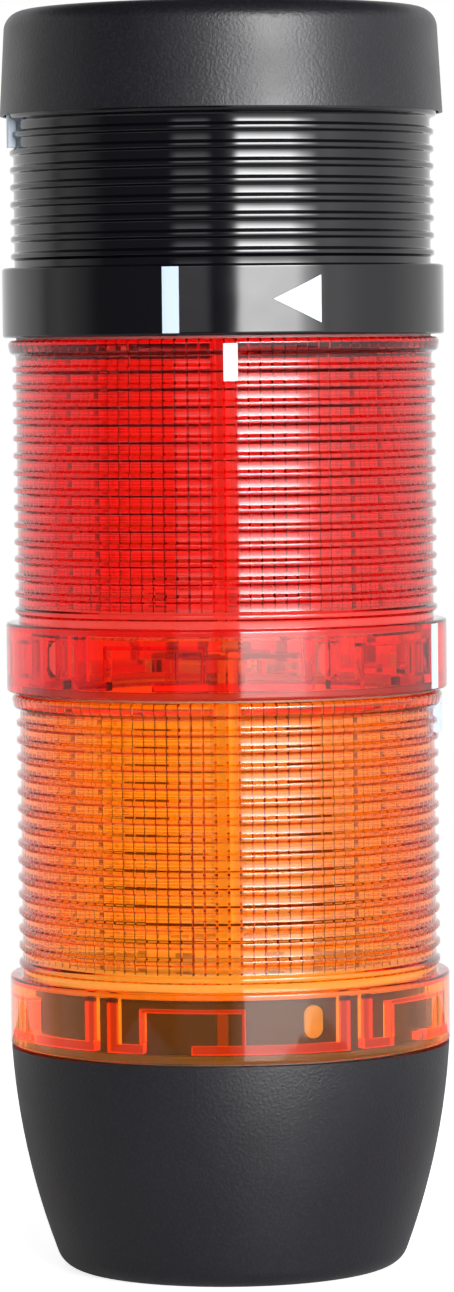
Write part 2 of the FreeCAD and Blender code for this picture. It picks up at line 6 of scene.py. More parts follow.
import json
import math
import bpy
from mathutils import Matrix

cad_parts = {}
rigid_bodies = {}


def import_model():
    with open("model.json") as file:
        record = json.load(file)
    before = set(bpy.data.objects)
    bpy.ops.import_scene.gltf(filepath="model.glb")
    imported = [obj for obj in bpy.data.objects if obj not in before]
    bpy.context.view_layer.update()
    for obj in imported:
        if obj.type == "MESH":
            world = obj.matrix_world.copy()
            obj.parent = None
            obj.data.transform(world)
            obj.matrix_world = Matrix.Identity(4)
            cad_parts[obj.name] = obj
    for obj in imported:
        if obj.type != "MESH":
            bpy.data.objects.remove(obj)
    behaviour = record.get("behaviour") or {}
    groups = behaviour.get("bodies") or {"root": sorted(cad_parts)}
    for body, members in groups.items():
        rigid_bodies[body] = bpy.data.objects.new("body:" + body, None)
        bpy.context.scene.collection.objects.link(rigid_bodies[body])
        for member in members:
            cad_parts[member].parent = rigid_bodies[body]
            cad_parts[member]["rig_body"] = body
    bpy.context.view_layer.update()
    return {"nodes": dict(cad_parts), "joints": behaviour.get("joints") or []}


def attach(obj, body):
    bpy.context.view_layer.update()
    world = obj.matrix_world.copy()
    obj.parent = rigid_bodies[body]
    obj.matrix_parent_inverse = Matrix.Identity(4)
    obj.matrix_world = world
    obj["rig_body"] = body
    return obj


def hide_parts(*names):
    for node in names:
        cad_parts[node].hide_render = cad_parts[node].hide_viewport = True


bl_info = {
    "name": "Stack light dressing",
    "version": (1, 0, 0),
    "blender": (4, 5, 0),
    "location": "3D View > Sidebar > Stack light",
    "description": "Moulded lenses, sounder, cap and base of a modular stack light",
    "category": "Add Mesh",
}

from types import SimpleNamespace

import bpy
import numpy as np

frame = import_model()
NODES = frame["nodes"]
JOINTS = {joint["name"]: joint for joint in frame["joints"]}
MM = 0.001


def joint_height(name):
    """The height of a bayonet's joint plane in millimetres, as the frame gives it."""
    return JOINTS[name]["pos_m"][2] / MM


def linear(code):
    """An sRGB hex colour as linear RGBA."""
    values = [int(code[i : i + 2], 16) / 255 for i in (1, 3, 5)]
    return [v / 12.92 if v <= 0.04045 else ((v + 0.055) / 1.055) ** 2.4 for v in values] + [1.0]


# ---------------------------------------------------------------- settings


def length(name, millimetres, description):
    """The property of a length, which Blender holds in metres."""
    return bpy.props.FloatProperty(
        name=name, description=description, default=millimetres * MM, unit="LENGTH", precision=5
    )


def angle(name, degrees, description):
    """The property of an angle, which Blender holds in radians."""
    return bpy.props.FloatProperty(name=name, description=description, default=math.radians(degrees), subtype="ANGLE")


def count(name, number, description):
    """The property of a number of like features."""
    return bpy.props.IntProperty(name=name, description=description, default=number, min=1)


def colour(name, code, description):
    """The property of a colour, which Blender holds as linear light."""
    return bpy.props.FloatVectorProperty(
        name=name, description=description, default=linear(code)[:3], subtype="COLOR", min=0.0, max=1.0
    )


class StackSizes(bpy.types.PropertyGroup):
    """Sizes of the moulded skins."""

    band_radius: length("Band radius", 35.0, "Outside of a plain band")
    band_height: length("Band height", 11.0, "Height of a plain band")
    band_round: length("Band edge", 0.45, "Rounding of a band's edges")
    joint_gap: length("Joint gap", 0.4, "Line left open under each band")
    wall_radius: length("Wall radius", 33.0, "Outside of the wall between ribs")
    wall_bore: length("Wall bore", 30.7, "Inside of a lens at its flutes")
    rib_height: length("Rib height", 0.58, "How far a rib stands proud")
    rib_width: length("Rib width", 1.72, "Width of a rib with its soft feet")
    rib_pitch: length("Rib pitch", 2.73, "From rib to rib")
    first_rib: length("First rib", 1.8, "Height of the lowest rib over the band")
    last_rib: length("Last rib", 5.0, "From the top rib to the joint plane above")
    bead_radius: length("Bead radius", 34.2, "Outside of the rounded shoulder")
    bead_height: length("Bead height", 2.8, "Height of the rounded shoulder")
    bead_face: length("Bead face", 1.7, "Height of the shoulder's nearly upright face")
    bead_draft: length("Bead draft", 0.18, "How far the shoulder's face leans in at its foot")
    bead_shelf: length("Bead shelf", 33.5, "Radius where the bead meets its shelf")
    collar_radius: length("Collar radius", 31.3, "Outside of a collar")
    collar_bore: length("Collar bore", 29.6, "Inside of a collar")
    collar_height: length("Collar height", 9.5, "Collar over the joint plane")
    collar_edge: length("Collar edge", 0.4, "Chamfer on a collar's rim")
    lug_radius: length("Lug radius", 32.9, "Outside of a bayonet lug")
    skirt_bore: length("Skirt bore", 33.2, "Inside of a band")
    ledge_bore: length("Ledge bore", 31.6, "Inside of the ledges in a band")
    skirt_ceiling: length("Skirt ceiling", 9.8, "Step over a collar's top")
    seat_bore: length("Seat bore", 31.2, "Bore that a module's floor sits in")
    seat_height: length("Seat height", 13.0, "Top of a module's floor")
    neck_height: length("Neck height", 0.5, "Slope from the wall to the collar")
    neck_step: length("Neck step", 0.2, "Step where the flutes end under the neck")
    flute_count: count("Flutes", 105, "Upright flutes inside a lens")
    flute_depth: length("Groove depth", 0.2, "Depth of the groove between two flutes")
    groove_width: length("Groove width", 0.38, "Width of the groove between two flutes")
    lens_ribs: count("Lens ribs", 15, "Ribs on a lens")
    sounder_ribs: count("Sounder ribs", 8, "Ribs on the sounder")


class StackAngles(bpy.types.PropertyGroup):
    """Places round the stack."""

    sounder_line: angle("Sounder line", -13.2, "Place of the line on the sounder's band")
    index_to_line: angle("Bar to line", 66.6, "From a module's bar to its line")
    lock_turn: angle("Lock turn", 15.0, "Turn that locks a bayonet")
    mark_to_lug: angle("Mark to lug", -23.0, "From a mark to its lug or gap")
    lug_width: angle("Lug width", 9.6, "Width of a bayonet lug")
    gap_width: angle("Gap width", 13.4, "Width of an entry gap")
    short_ledge: angle("Short ledge", 9.2, "Length of a short ledge")
    long_ledge: angle("Long ledge", 42.1, "Length of a long ledge")


class StackColours(bpy.types.PropertyGroup):
    """Colours of the main mouldings, marks and backdrop."""

    amber: colour("Amber", "#FFE19C", "Clear amber lens seen through 1 mm")
    red: colour("Red", "#FBA89E", "Clear red lens seen through 1 mm")
    gloss_black: colour("Gloss black", "#09080D", "Sounder housing")
    matt_black: colour("Matt black", "#131217", "Base and cap")
    mark_white: colour("Mark white", "#C3D4E8", "Printed marks and inlaid bars")
    nylon_white: colour("Nylon white", "#EFEDE6", "Contact carriers")
    backdrop: colour("Backdrop", "#FFFFFF", "Background and studio light")


GROUPS = {"stack_sizes": StackSizes, "stack_angles": StackAngles, "stack_colours": StackColours}


def settings(group, scale):
    """A group's values, with its decimal numbers times scale. Rounding takes off what single precision adds."""
    held = getattr(bpy.context.scene, group)
    values = {name: getattr(held, name) for name in GROUPS[group].__annotations__}
    return SimpleNamespace(**{k: round(v * scale, 5) if isinstance(v, float) else v for k, v in values.items()})


def sizes():
    """Lengths in millimetres, and counts."""
    return settings("stack_sizes", 1 / MM)


def angles():
    """Angles in degrees."""
    return settings("stack_angles", math.degrees(1))


def colours():
    """Colours as linear RGBA."""
    held = bpy.context.scene.stack_colours
    return SimpleNamespace(**{name: (*getattr(held, name), 1.0) for name in StackColours.__annotations__})


def module_turn():
    """How far each module stands turned from the one above it."""
    return angles().lock_turn + angles().index_to_line


# ---------------------------------------------------------------- mesh tools


def closed_grid_faces(rows, columns):
    """Corner numbers of a grid's quads. Row i, column j is vertex i * columns + j, and both directions wrap round."""
    i, j = np.meshgrid(np.arange(rows), np.arange(columns), indexing="ij")
    below, beside = (i + 1) % rows, (j + 1) % columns
    quads = np.stack([i * columns + j, i * columns + beside, below * columns + beside, below * columns + j], axis=-1)
    return quads.reshape(-1, 4)


def mesh_object(name, points, faces, sharp_degrees=35.0):
    """A smooth-shaded object from points in millimetres and quads, with edges over an angle kept sharp."""
    mesh = bpy.data.meshes.new(name)
    mesh.vertices.add(len(points))
    mesh.vertices.foreach_set("co", (points * MM).astype(np.float32).ravel())
    mesh.loops.add(faces.size)
    mesh.loops.foreach_set("vertex_index", faces.astype(np.int32).ravel())
    mesh.polygons.add(len(faces))
    mesh.polygons.foreach_set("loop_start", np.arange(0, faces.size, faces.shape[1], dtype=np.int32))
    mesh.polygons.foreach_set("use_smooth", np.ones(len(faces), dtype=bool))
    mesh.update(calc_edges=True)
    mesh.validate()
    mesh.set_sharp_from_angle(angle=math.radians(sharp_degrees))
    item = bpy.data.objects.new(name, mesh)
    bpy.context.scene.collection.objects.link(item)
    return item


def dressed(item, node, material):
    """The piece takes a CAD node's place, body and material."""
    item.data.materials.append(material)
    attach(item, item_body(node))
    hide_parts(node)
    return item


def item_body(node):
    """The body that a CAD node belongs to."""
    return NODES[node]["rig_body"]


def arc(centre, radius, start, end, steps):
    """Points (r, z) on a circle from one angle to another about its centre, with 0 pointing outwards and 90 up."""
    t = np.radians(np.linspace(start, end, steps + 1))
    return np.column_stack([centre[0] + radius * np.cos(t), centre[1] + radius * np.sin(t)])


def circle_through(a, b, c):
    """Centre and radius of the circle through three points of a profile."""
    ax, ay, bx, by, cx, cy = *a, *b, *c
    d = 2 * (ax * (by - cy) + bx * (cy - ay) + cx * (ay - by))
    ux = ((ax**2 + ay**2) * (by - cy) + (bx**2 + by**2) * (cy - ay) + (cx**2 + cy**2) * (ay - by)) / d
    uy = ((ax**2 + ay**2) * (cx - bx) + (bx**2 + by**2) * (ax - cx) + (cx**2 + cy**2) * (bx - ax)) / d
    return (ux, uy), math.hypot(ax - ux, ay - uy)


def bow(a, b, c, steps):
    """Points along the circle that runs from a through b to c."""
    centre, radius = circle_through(a, b, c)
    start, middle, end = (math.degrees(math.atan2(p[1] - centre[1], p[0] - centre[0])) for p in (a, b, c))
    middle = start + (middle - start + 180) % 360 - 180
    end = middle + (end - middle + 180) % 360 - 180
    return arc(centre, radius, start, end, steps)


# ---------------------------------------------------------------- bayonet relief

PLAIN, LEDGES, LUGS, FLUTES = range(4)
LUG_COUNT = 5
FIFTH = 360 / LUG_COUNT
# Half the width of the steps between two depths of relief: millimetres upwards, degrees round.
STEP = 0.04
# From and to heights of the ledges and of the pockets' roofs over a band's lower edge, and of the lugs over a joint.
LEDGE_HEIGHTS = (1.4, 2.7)
ROOF_HEIGHTS = (7.8, 8.3)
LUG_HEIGHTS = (3.0, 7.6)
# Half the width of the bars at a ledge's ends and of the detent, and the thickness of a pocket's end walls.
BAR_HALF = 0.8
POCKET_WALL = 0.5
DETENT_DEPTH = 0.2
# Degrees between a locked lug and its stop.
STOP_PLAY = 0.3
# The groove in a lug's face that takes the detent: half its width in degrees, and its depth.
LUG_GROOVE_HALF = 2.0
LUG_GROOVE_DEPTH = 0.3
# The oval windows that show a hook: degrees from the first lug, middle height, half the straight part, end radius, and
# the wall left behind them.
WINDOW_ANGLES = (-31.0, 26.0, 118.0, 242.0)
WINDOW_HEIGHT = 5.9
WINDOW_STRAIGHT = 1.05
WINDOW_RADIUS = 1.75
WINDOW_WALL = 0.15
# Extra rows up a collar, which follow the round ends of its windows.
WINDOW_ROWS = np.arange(3.3, 8.9, 0.6)


def within(value, low, high):
    """True where a value lies between two others."""
    return (value > low) & (value < high)


def ledge_edges():
    """The angles, from a band's line, where the relief inside a skirt steps, over one fifth of the turn."""
    a, bore = angles(), sizes().skirt_bore
    bar = math.degrees(BAR_HALF / bore)
    thin = math.degrees(POCKET_WALL / bore)
    entry, leave = -a.gap_width / 2, a.gap_width / 2
    short, far = entry - a.short_ledge, leave + a.long_ledge
    stop = a.lock_turn + a.lug_width / 2 + STOP_PLAY
    return {
        "short": (short - bar, short + bar),
        "entry": (entry - thin, entry),
        "leave": (leave, leave),
        "detent": (a.lock_turn - bar, a.lock_turn + bar),
        "stop": (stop, stop + thin),
        "far": (far - bar, far + bar),
    }


def snapped(columns, edges, lead):
    """Column angles with one column moved to each side of every step, five times round."""
    turns = np.linspace(0, 360, columns, endpoint=False)
    pitch = 360 / columns
    flat = sorted({value for pair in edges.values() for value in pair})
    places = np.sort(np.array([(lead + value + FIFTH * k) % 360 for value in flat for k in range(LUG_COUNT)]))
    last = -1
    for place in places:
        k = max(int(round(place / pitch - 0.5)), last + 1)
        turns[k % columns] = place - STEP
        turns[(k + 1) % columns] = place + STEP
        last = k + 1
    return turns


def from_lead(turn, lead):
    """An angle measured from the nearest of five places, the first of which is lead."""
    return (turn - lead + FIFTH / 2) % FIFTH - FIFTH / 2


def skirt_radius(turn, z, lead):
    """The skirt's inside: its bore, less the ledges, bars, pocket walls and detent that stand in from it."""
    s = sizes()
    short, entry, leave, detent, stop, far = ledge_edges().values()
    low, pocket, high = LEDGE_HEIGHTS[0], LEDGE_HEIGHTS[1], ROOF_HEIGHTS[1]
    local = from_lead(turn, lead)
    local = np.where(local < short[0], local + FIFTH, local)
    ledge = within(z, *LEDGE_HEIGHTS) & (within(local, leave[0], far[1]) | within(local, short[0], entry[1]))
    bars = (z > low) & (within(local, *short) | within(local, *far))
    roof = within(z, *ROOF_HEIGHTS) & within(local, entry[0], stop[1])
    ends = within(z, low, high) & (within(local, *entry) | within(local, *stop))
    shallow = within(z, pocket, high) & within(local, *detent)
    radius = np.where(ledge | bars | roof | ends, s.ledge_bore, s.skirt_bore)
    return np.where(shallow & (radius > s.ledge_bore), s.skirt_bore - DETENT_DEPTH, radius)


def collar_radius(turn, z, lead):
    """The collar's outside: its radius, out to the lugs and in to the oval windows. z is from the joint plane."""
    s, a = sizes(), angles()
    local = from_lead(turn, lead)
    lug = (np.abs(local) < a.lug_width / 2) & within(z, *LUG_HEIGHTS)
    groove = lug & (np.abs(local) < LUG_GROOVE_HALF)
    radius = np.where(lug, s.lug_radius, s.collar_radius)
    radius = np.where(groove, s.lug_radius - LUG_GROOVE_DEPTH, radius)
    for window in WINDOW_ANGLES:
        side = np.radians((turn - lead - window + 180) % 360 - 180) * s.collar_radius
        rise = np.maximum(np.abs(z - WINDOW_HEIGHT) - WINDOW_STRAIGHT, 0)
        radius = np.where(np.hypot(side, rise) < WINDOW_RADIUS, s.collar_bore + WINDOW_WALL, radius)
    return radius


def lug_edges():
    """The angles where a collar's outside steps, from a lug's middle."""
    half = angles().lug_width / 2
    return {"lug": (-half, half), "groove": (-LUG_GROOVE_HALF, LUG_GROOVE_HALF)}


# ---------------------------------------------------------------- moulded shells


# A row this far from a rounded edge keeps the shading of the face beside it flat.
EDGE_LOOP = 0.12
ROUND_STEPS = 4
# The soft foot of the shoulder: where each half bows to, as shares of its width and height, and its steps.
BEAD_BOW = (0.3, 0.32)
BEAD_STEPS = 3
# How a rib's surface leans over its width: (share of the half width above its middle, lean upwards in degrees). The
# crest is broad and nearly upright, the flanks are steep, and the feet run softly into the lands.
RIB_LEAN = [
    (-1.0, -2), (-0.88, -14), (-0.76, -46), (-0.66, -64), (-0.5, -64), (-0.4, -40), (-0.3, -14), (-0.18, -4),
    (0.2, 5), (0.3, 14), (0.4, 40), (0.5, 64), (0.66, 64), (0.76, 40), (0.88, 12), (1.0, 1),
]
# Columns round a skin.
SOUNDER_COLUMNS = 360
COLUMNS_PER_FLUTE = 3


def run(corners, kind=PLAIN):
    """Rows (r, z, kind) of a section through some corners, without the last one, where the next run begins."""
    corners = np.asarray(corners, dtype=float)[:-1]
    return np.column_stack([corners, np.full(len(corners), kind)])


def module_height(ribs):
    """From a module's band edge to the joint plane above."""
    s = sizes()
    return s.band_height + s.first_rib + (ribs - 1) * s.rib_pitch + s.last_rib


def rib_section():
    """Heights and proud radii over one rib: the lean summed up, with each flank brought to the rib's full height."""
    s = sizes()
    place, lean = np.array(RIB_LEAN, dtype=float).T
    slope = -np.tan(np.radians(lean))
    steps = (slope[1:] + slope[:-1]) / 2 * np.diff(place)
    rise = np.concatenate([[0.0], np.cumsum(steps)])
    crest = int(np.argmax(rise))
    fall = rise[crest] - rise
    rise = np.where(np.arange(len(rise)) <= crest, rise / rise[crest], 1 - fall / fall[-1])
    return place * s.rib_width / 2, rise * s.rib_height


def rib_runs(ribs):
    """Broad ribs over the wall, with a flat land between each two."""
    s = sizes()
    over, proud = rib_section()
    crests = s.band_height + s.first_rib + s.rib_pitch * np.arange(ribs)
    kind = np.full(len(over), PLAIN)
    return [np.column_stack([s.wall_radius + proud, crest + over, kind]) for crest in crests]


def bead_runs(foot, shelf):
    """The shoulder under a joint: a soft foot, a nearly upright face and a rounded rim."""
    s = sizes()
    rim = s.bead_radius - s.bead_shelf
    face = np.array([s.bead_radius - s.bead_draft, shelf - s.bead_face])
    start = np.array([s.wall_radius, foot])
    middle = (start + face) / 2
    bulge = np.array(BEAD_BOW) * [(face[0] - start[0]) / 2, face[1] - start[1]]
    lower = bow(start, start + bulge, middle, BEAD_STEPS)
    upper = bow(middle, face - bulge, face, BEAD_STEPS)
    rounding = arc((s.bead_shelf, shelf - rim), rim, 0, 90, ROUND_STEPS)
    under = rounding[0] - [0, EDGE_LOOP]
    return [run(lower), run(upper), run([face, (face + under) / 2, under, rounding[0]]), run(rounding)]


def collar_levels(low, high):
    """Heights up a collar, close together where its lugs and windows step."""
    steps = [height + side for height in LUG_HEIGHTS for side in (-STEP, STEP)]
    clear = np.abs(WINDOW_ROWS - LUG_HEIGHTS[1]) > 2 * STEP
    return np.unique(np.concatenate([[low, *steps, high], WINDOW_ROWS[clear]]))


def skirt_levels():
    """Heights down the inside of a skirt, close together at each step of its ledges."""
    edges = [*reversed(ROOF_HEIGHTS), *reversed(LEDGE_HEIGHTS)]
    return [sizes().skirt_ceiling, *(edge + side for edge in edges for side in (STEP, -STEP)), 0.0]


def shell_profile(ribs):
    """The closed section of a module as rows (r, z, kind), from the inner lower edge round and back."""
    s = sizes()
    joint = module_height(ribs)
    top = joint + s.collar_height
    shelf = joint - s.joint_gap
    foot = shelf - s.bead_height
    neck = joint - 2 * s.neck_height
    low, high = s.band_round, s.band_height - s.band_round
    rim = s.band_radius - s.band_round
    first = s.band_height + s.first_rib - s.rib_width / 2
    levels = collar_levels(-s.joint_gap, s.collar_height - s.collar_edge)
    return np.vstack([
        run([(s.skirt_bore, 0), (rim, 0)]),
        run(arc((rim, low), s.band_round, -90, 0, ROUND_STEPS)),
        run([(s.band_radius, z) for z in (low, low + EDGE_LOOP, high - EDGE_LOOP, high)]),
        run(arc((rim, high), s.band_round, 0, 90, ROUND_STEPS)),
        run([(rim, s.band_height), (s.wall_radius, s.band_height), (s.wall_radius, first)]),
        *rib_runs(ribs),
        *bead_runs(foot, shelf),
        run([(s.bead_shelf, shelf), (s.collar_radius, shelf)]),
        run([(s.collar_radius, joint + level) for level in levels], LUGS),
        run([
            (s.collar_radius, top - s.collar_edge), (s.collar_radius - s.collar_edge, top), (s.collar_bore, top),
            (s.collar_bore, joint - s.neck_height), (s.wall_bore - s.neck_step, neck), (s.wall_bore, neck),
        ]),
        run([(s.wall_bore, neck), (s.wall_bore, s.seat_height), (s.seat_bore, s.seat_height)], FLUTES),
        run([(s.seat_bore, s.seat_height), (s.seat_bore, s.skirt_ceiling), (s.skirt_bore, s.skirt_ceiling)]),
        run([(s.skirt_bore, level) for level in skirt_levels()], LEDGES),
    ])


def turned_shell(name, rows, columns, height, line, joint_top, fluted):
    """A closed skin: each row of the section swept round, with ledges, lugs and flutes worked into its radius.

    A point is (r sin a, -r cos a, z), where r is the row's radius changed by its relief at angle a and height z.
    """
    s, a = sizes(), angles()
    kind = rows[:, 2][:, None]
    r = np.repeat(rows[:, :1], columns, axis=1)
    z = np.repeat(rows[:, 1:2], columns, axis=1)
    plain = np.linspace(0, 360, columns, endpoint=False)
    groove = np.zeros(columns)
    if fluted:
        pitch = 360 / s.flute_count
        edge = math.degrees(s.groove_width / 2 / s.wall_bore)
        plain = (np.arange(s.flute_count)[:, None] * pitch + np.array([-edge, 0, edge])).ravel()
        groove = np.tile([0, s.flute_depth, 0], s.flute_count)
    gap_lead = line + a.mark_to_lug
    lug_lead = line - a.index_to_line + a.mark_to_lug
    ledge_turn = snapped(columns, ledge_edges(), gap_lead)[None, :]
    lug_turn = snapped(columns, lug_edges(), lug_lead)[None, :]
    turn = np.where(kind == LEDGES, ledge_turn, np.where(kind == LUGS, lug_turn, plain[None, :]))
    r = np.where(kind == LEDGES, skirt_radius(turn, z, gap_lead), r)
    r = np.where(kind == LUGS, collar_radius(turn, z - joint_top, lug_lead), r)
    r = np.where(kind == FLUTES, r + groove[None, :], r)
    t = np.radians(turn)
    points = np.stack([r * np.sin(t), -r * np.cos(t), z + height], axis=-1).reshape(-1, 3)
    return mesh_object(name, points, closed_grid_faces(len(rows), columns))


# ---------------------------------------------------------------- materials

# A noise field's values mostly lie between these.
NOISE_LOW, NOISE_HIGH = 0.35, 0.7
# Half the width of a soft step between two finishes, in millimetres.
SOFT_STEP = 0.1
IOR_POLYCARBONATE = 1.585
IOR_ABS = 1.54
IOR_NYLON = 1.53
IOR_SILICONE = 1.41
# Where a painted glow lies on the amber lens's ledges: within this radius, between these heights over the joint.
PAINTED_LEDGE_GLOW_RADIUS = 33.0
PAINTED_LEDGE_GLOW_HEIGHTS = (1.0, 9.0)
# From these radii outwards the carriers are moulded in their second colour, and the contact strips are bare.
RIM_RADIUS = 26.0
HOOK_RADIUS = 27.0
SLEEVE_RADIUS = 3.0


def node(tree, kind, settings=None, **inputs):
    """Adds a node. Settings go on the node; inputs are values or output sockets, named with _ for a space."""
    item = tree.nodes.new(kind)
    for key, value in (settings or {}).items():
        setattr(item, key, value)
    for key, value in inputs.items():
        numbered = key[0] == "i" and key[1:].isdigit()
        socket = item.inputs[int(key[1:]) if numbered else key.replace("_", " ")]
        if isinstance(value, bpy.types.NodeSocket):
            tree.links.new(value, socket)
        else:
            socket.default_value = value
    return item


def maths(tree, operation, *values):
    """What one Math node makes of its values."""
    inputs = {f"i{k}": value for k, value in enumerate(values)}
    return node(tree, "ShaderNodeMath", {"operation": operation}, **inputs).outputs[0]


def remap(tree, value, low, high, new_low, new_high):
    """A value carried from one range to another and held there."""
    return node(tree, "ShaderNodeMapRange", i0=value, i1=low, i2=high, i3=new_low, i4=new_high).outputs[0]


def mixed(tree, share, first, second):
    """A colour between two others."""
    return node(tree, "ShaderNodeMix", {"data_type": "RGBA"}, i0=share, i6=first, i7=second).outputs[2]


def object_point(tree):
    """The point on the object, in metres."""
    return node(tree, "ShaderNodeTexCoord").outputs["Object"]


def noise(tree, point, size_mm, detail=2.0):
    """A noise field whose blobs are about size_mm across."""
    return node(tree, "ShaderNodeTexNoise", Vector=point, Scale=1 / (size_mm * MM), Detail=detail).outputs["Fac"]


def wander(tree, point, size_mm, low, high, start=NOISE_LOW, detail=2.0):
    """A value that wanders between low and high over blobs of about size_mm."""
    return remap(tree, noise(tree, point, size_mm, detail), start, NOISE_HIGH, low, high)


def bumped(tree, field, strength, distance):
    """A normal tilted by a field's slope."""
    return node(tree, "ShaderNodeBump", Strength=strength, Distance=distance, Height=field).outputs[0]


def axis_radius(tree, point):
    """How far a point stands from the stack's axis, in metres."""
    flat = node(tree, "ShaderNodeVectorMath", {"operation": "MULTIPLY"}, i0=point, i1=(1, 1, 0)).outputs[0]
    return node(tree, "ShaderNodeVectorMath", {"operation": "LENGTH"}, i0=flat).outputs["Value"]


def past(tree, value, edge_mm, before=0.0, after=1.0):
    """One number before an edge and another past it, with a soft step between them."""
    return remap(tree, value, (edge_mm - SOFT_STEP) * MM, (edge_mm + SOFT_STEP) * MM, before, after)


def coated(tree, **inputs):
    """A Principled surface."""
    return node(tree, "ShaderNodeBsdfPrincipled", **inputs)


def new_material(name):
    """An empty material and its node tree."""
    material = bpy.data.materials.new(name)
    material.use_nodes = True
    material.node_tree.nodes.clear()
    return material, material.node_tree


def finished(material, surface, volume=None):
    """The material with its surface, and its volume where it has one, joined to the output."""
    tree = material.node_tree
    out = tree.nodes.new("ShaderNodeOutputMaterial")
    tree.links.new(surface.outputs[0], out.inputs["Surface"])
    if volume:
        tree.links.new(volume.outputs[0], out.inputs["Volume"])
    return material


def absorbing(tree, tint, depth_mm):
    """A dye that lets tint through in each depth_mm: each channel's density is -ln(tint) over the depth."""
    through = np.clip(np.array(tint[:3]), 1e-3, 0.999)
    sigma = -np.log(through) / (depth_mm * MM)
    density = float(sigma.max())
    return node(tree, "ShaderNodeVolumeAbsorption", Color=(*(1 - sigma / density), 1.0), Density=density)


def clear_polycarbonate(name, tint, depth_mm, glow=0.0, foot_mm=0.0):
    """Injection-moulded clear polycarbonate, dyed in the mass.

    The eye gets sharp ribs and flutes that bend what stands behind them, and a colour that deepens with thickness.
    Where glow is given, a painted glow in orange-red lies on the ledges within a band, so they stand bright against a
    dark collar.
    """
    material, tree = new_material(name)
    point = object_point(tree)
    surface = coated(
        tree, Transmission_Weight=1.0, Roughness=0.035, IOR=IOR_POLYCARBONATE, Base_Color=(1, 1, 1, 1),
        Normal=bumped(tree, noise(tree, point, 9.0, 1.0), 0.05, 0.0004),
    )
    if glow:
        height = node(tree, "ShaderNodeSeparateXYZ", Vector=point).outputs["Z"]
        low, high = (foot_mm + level for level in PAINTED_LEDGE_GLOW_HEIGHTS)
        share = past(tree, axis_radius(tree, point), PAINTED_LEDGE_GLOW_RADIUS, glow, 0.0)
        share = maths(tree, "MULTIPLY", share, past(tree, height, low))
        share = maths(tree, "MULTIPLY", share, past(tree, height, high, 1.0, 0.0))
        # Painted glow: an orange-red emission on the ledges, which are no lamp.
        ledge_painted_glow = node(tree, "ShaderNodeEmission", Color=linear("#FF5630"), Strength=share)
        surface = node(tree, "ShaderNodeAddShader", i0=surface.outputs[0], i1=ledge_painted_glow.outputs[0])
    return finished(material, surface, absorbing(tree, tint, depth_mm))


def gloss_abs(name, tint):
    """Black ABS moulded in a polished tool: a deep, even black with clean reflections and a faint moulding ripple."""
    material, tree = new_material(name)
    point = object_point(tree)
    return finished(material, coated(
        tree, Base_Color=tint, IOR=IOR_ABS, Roughness=wander(tree, point, 14.0, 0.06, 0.12, 0.4, 3.0),
        Normal=bumped(tree, noise(tree, point, 6.0, 1.0), 0.06, 0.0004),
    ))


def spark_eroded_abs(name, tint, worn):
    """Black ABS moulded in a spark-eroded tool: a fine grain, 0.45 mm wide, that sparkles in a broad dull sheen."""
    material, tree = new_material(name)
    point = object_point(tree)
    grain = noise(tree, point, 0.45)
    crests = remap(tree, grain, 0.45, 0.8, 0.0, 1.0)
    return finished(material, coated(
        tree, Base_Color=mixed(tree, crests, tint, worn), IOR=1.49, Roughness=wander(tree, point, 11.0, 0.36, 0.43),
        Normal=bumped(tree, grain, 0.7, 0.00008),
    ))


def plain_plastic(name, tint, roughness, ior=1.5):
    """A moulded or printed plastic with a slight unevenness in its gloss."""
    material, tree = new_material(name)
    point = object_point(tree)
    return finished(material, coated(
        tree, Base_Color=tint, IOR=ior, Roughness=wander(tree, point, 5.0, roughness - 0.05, roughness + 0.05),
        Normal=bumped(tree, noise(tree, point, 0.6), 0.1, 0.00005),
    ))


def clear_silicone(name, tint):
    """Unfilled silicone rubber: milky and soft-edged, so it takes the colour of what is round it."""
    material, tree = new_material(name)
    cloud = wander(tree, object_point(tree), 1.5, 0.35, 0.45, 0.4)
    return finished(material, coated(
        tree, Base_Color=tint, Transmission_Weight=0.85, Roughness=cloud, IOR=IOR_SILICONE,
    ))


def two_shot_nylon(name, inner, outer):
    """Nylon moulded in two shots: black at the middle, with waxy natural hooks at its edge."""
    material, tree = new_material(name)
    point = object_point(tree)
    share = past(tree, axis_radius(tree, point), HOOK_RADIUS)
    return finished(material, coated(
        tree, Base_Color=mixed(tree, share, inner, outer), IOR=IOR_NYLON, Roughness=wander(tree, point, 5.0, 0.4, 0.5),
    ))


def clear_with_painted_glow_rim(name, tint, glow):
    """Polycarbonate moulded in two shots: glass-clear at the middle, with a glossy white rim.

    The rim carries a painted glow: a faint emission in its own white.
    """
    material, tree = new_material(name)
    point = object_point(tree)
    clear = coated(tree, Transmission_Weight=1.0, Roughness=0.03, IOR=IOR_POLYCARBONATE)
    white = coated(
        tree, Base_Color=tint, Roughness=wander(tree, point, 5.0, 0.3, 0.4), IOR=IOR_POLYCARBONATE,
        Emission_Color=tint, Emission_Strength=glow,
    )
    share = past(tree, axis_radius(tree, point), RIM_RADIUS)
    return finished(
        material, node(tree, "ShaderNodeMixShader", i0=share, i1=clear.outputs[0], i2=white.outputs[0])
    )


def sleeved_brass(name, sleeve, brass, lit, glow):
    """Brass strip in a glossy white heat-shrink sleeve up the column, and bare beyond it.

    The sleeve carries a painted glow in the colour lit, which stands for the light that reaches it through the lens
    wall.
    """
    material, tree = new_material(name)
    point = object_point(tree)
    radius = axis_radius(tree, point)
    bare = past(tree, radius, SLEEVE_RADIUS)
    return finished(material, coated(
        tree, Base_Color=mixed(tree, bare, sleeve, brass), Metallic=bare,
        Roughness=wander(tree, point, 1.2, 0.28, 0.42),
        Emission_Color=lit, Emission_Strength=past(tree, radius, SLEEVE_RADIUS, glow, 0.0),
    ))


